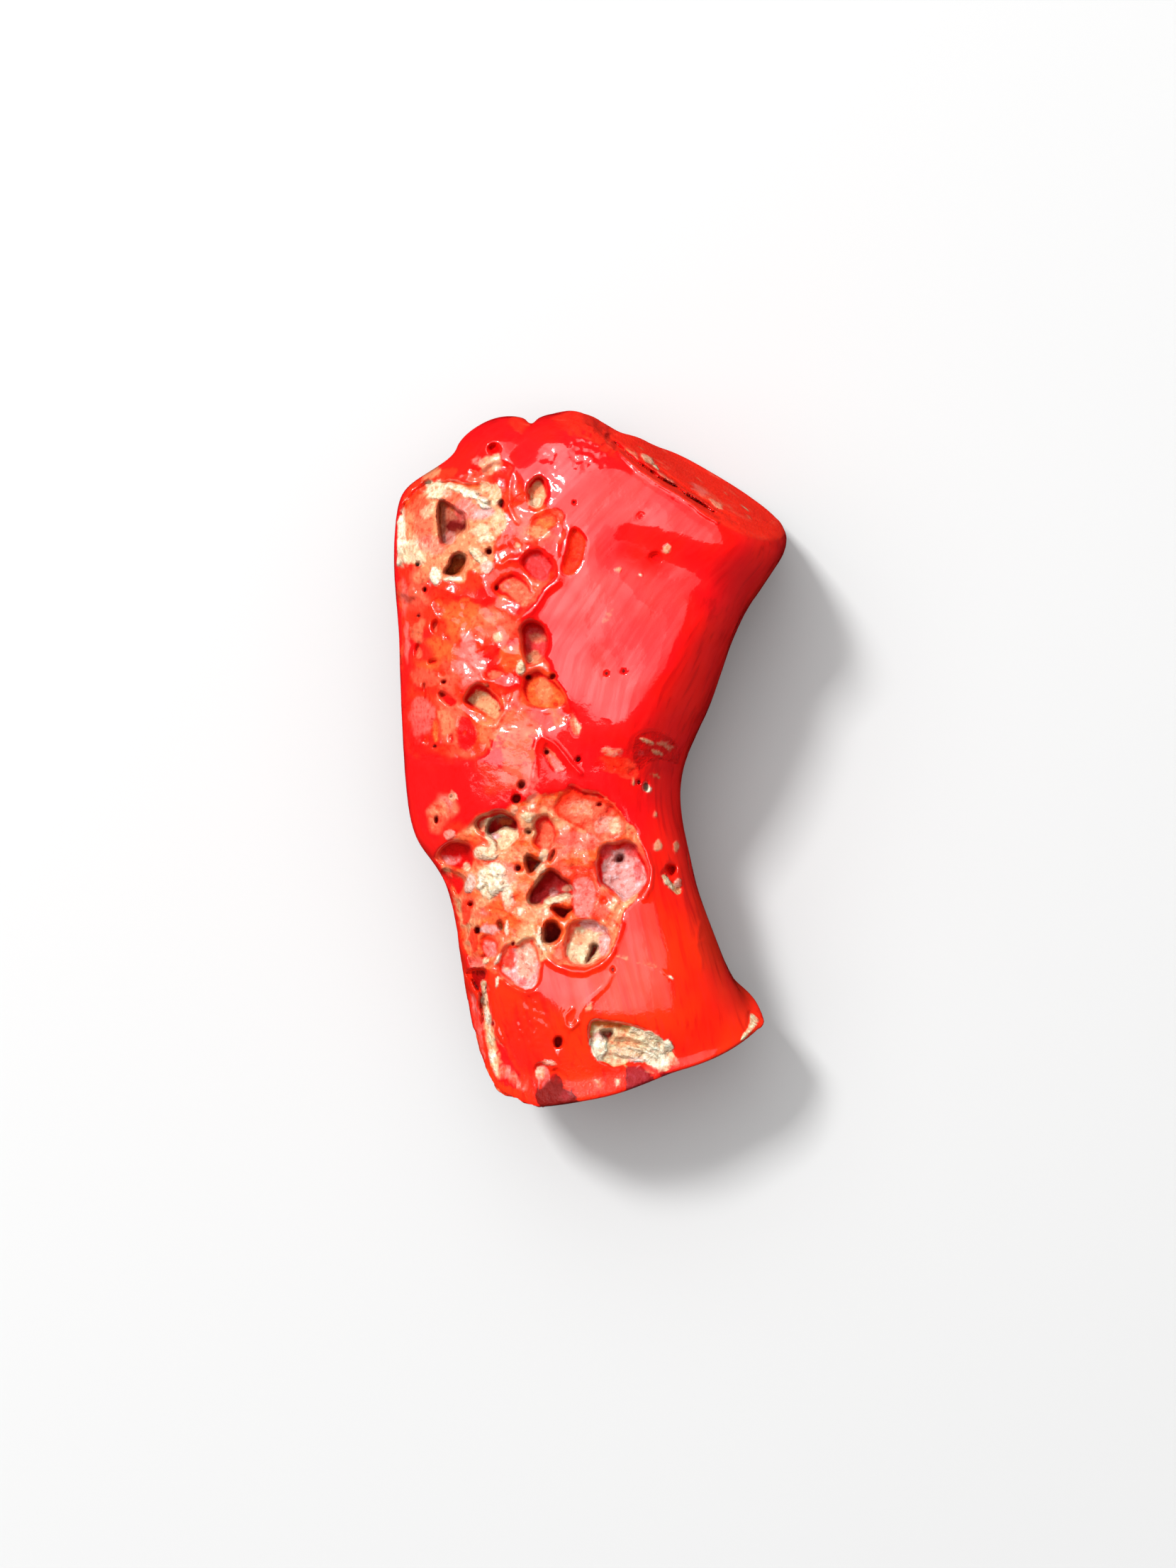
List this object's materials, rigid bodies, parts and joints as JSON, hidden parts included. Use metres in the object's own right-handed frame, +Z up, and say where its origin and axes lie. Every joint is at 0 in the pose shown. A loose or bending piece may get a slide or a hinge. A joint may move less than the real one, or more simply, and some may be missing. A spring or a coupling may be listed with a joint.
{
  "type": "red coral branch",
  "caption": "Polished stub of red coral, sawn off flat at both ends, bent at its waist and pitted by boring sponges, lying on a flattened side.",
  "frame": {"origin": "on the resting surface, under the middle of the piece's bounding box", "axes": "+Y from the lower sawn end to the wider upper end, +X to the side that the branch turns to, +Z up from the flattened underside"},
  "size_m": [0.02, 0.0352, 0.013],
  "materials": {
    "polished_coral": "opaque red calcium carbonate, tumbled and polished to a wet gloss, with maroon pores and dull cream lime crust left in the hollows"
  },
  "bodies": {
    "root": {"coral_branch": "polished_coral"}
  },
  "joints": []
}
